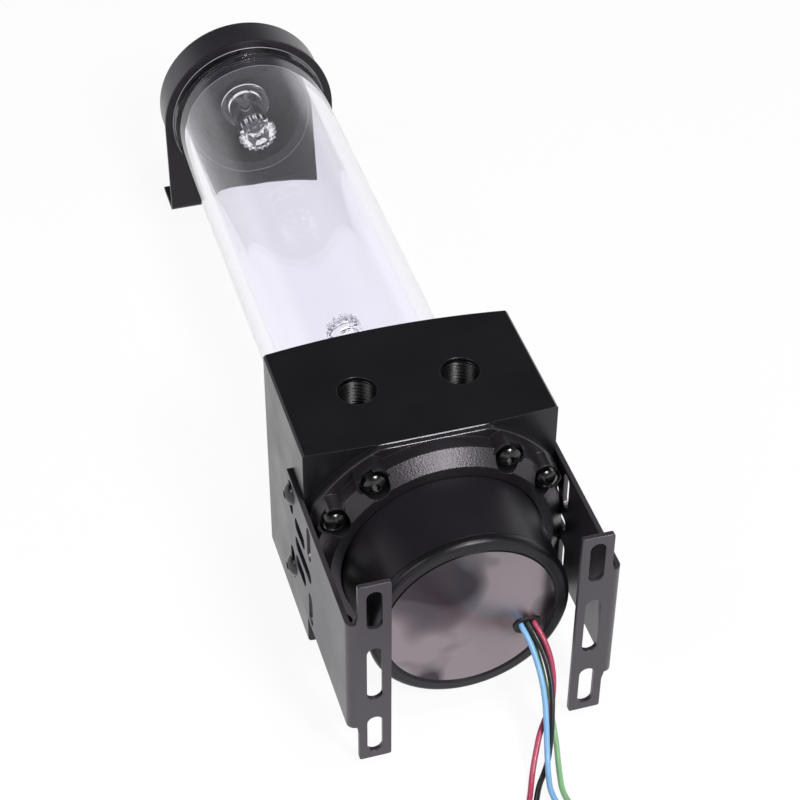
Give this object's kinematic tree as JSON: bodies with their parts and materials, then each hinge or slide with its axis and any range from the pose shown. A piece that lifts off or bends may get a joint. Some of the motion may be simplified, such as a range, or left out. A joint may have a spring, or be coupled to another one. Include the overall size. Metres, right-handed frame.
{
  "type": "coolant pump reservoir",
  "caption": "Clear tube reservoir on a square black pump block, with a round motor in a clamp ring, mounting brackets at both ends, two threaded ports, and coiled leads.",
  "frame": {"origin": "centre of the pump block's flat back face, which lies on Z = 0 as the part lies on its back", "axes": "+Y runs along the reservoir from the motor to the cap, +Z out of the port face, +X to the right seen from the motor end. Stood upright, +Y points up and the back face is toward the chassis wall."},
  "size_m": [0.0911, 0.423, 0.08],
  "materials": {
    "acetal_black": "machined black acetal, satin",
    "acrylic_clear": "clear cast acrylic, polished",
    "acrylic_light": "clear acrylic light plug, polished",
    "cap_black": "turned black acetal, satin",
    "seal_rubber": "black nitrile seal",
    "bracket_coat": "charcoal powder coat on 1.5 mm steel",
    "screw_black": "black oxide steel screw",
    "ring_coat": "fine textured black coat on cast aluminium",
    "housing_plastic": "moulded dark grey plastic, satin",
    "label_foil": "dark metallic label film, bare",
    "pot_steel": "moulded grey plastic can",
    "bearing_ceramic": "polished ceramic ball",
    "impeller_plastic": "moulded natural plastic",
    "magnet": "sintered ferrite magnet",
    "stator_steel": "laminated electrical steel",
    "winding_copper": "enamelled copper wire",
    "board_green": "circuit board with green solder mask",
    "wire_red": "red PVC insulation",
    "wire_black": "black PVC insulation",
    "wire_blue": "light blue PVC insulation",
    "wire_green": "green PVC insulation",
    "tie_white": "soft plastic tie",
    "plug_black": "moulded black nylon connector",
    "pin_tin": "brass contacts"
  },
  "bodies": {
    "pump": {"pump_block": "acetal_black", "reservoir_tube": "acrylic_clear", "tube_seal": "seal_rubber", "light_riser": "acrylic_light", "top_bracket": "bracket_coat", "bracket_left": "bracket_coat", "bracket_right": "bracket_coat", "bracket_screws_left": "screw_black", "bracket_screws_right": "screw_black", "clamp_ring": "ring_coat", "clamp_screws": "screw_black", "pump_seal": "seal_rubber", "separation_pot": "pot_steel", "bearing_post": "pot_steel", "bearing_ball": "bearing_ceramic", "pump_housing": "housing_plastic", "stator_core": "stator_steel", "stator_windings": "winding_copper", "control_board": "board_green", "motor_end_cap": "housing_plastic", "label_disc": "label_foil", "wire_grommet": "seal_rubber", "wire_red": "wire_red", "wire_black": "wire_black", "wire_blue": "wire_blue", "wire_green": "wire_green", "coil_power": "wire_red", "coil_signal": "wire_blue", "coil_ties": "tie_white", "plug_power": "plug_black", "plug_power_pins": "pin_tin", "plug_signal": "plug_black", "plug_signal_pins": "pin_tin"},
    "cap": {"reservoir_cap": "cap_black", "cap_seal": "seal_rubber", "light_plug": "acrylic_light", "light_plug_seal": "seal_rubber"},
    "rotor": {"impeller": "impeller_plastic", "rotor_magnet": "magnet"}
  },
  "joints": [
    {"name": "cap_lift", "type": "slide", "parent": "pump", "child": "cap", "axis": [0, 1, 0], "range_m": [0, 0.04]},
    {"name": "rotor_spin", "type": "hinge", "parent": "pump", "child": "rotor", "pos_m": [0, -0.033, 0.04], "axis": [0, 1, 0], "continuous": true}
  ]
}
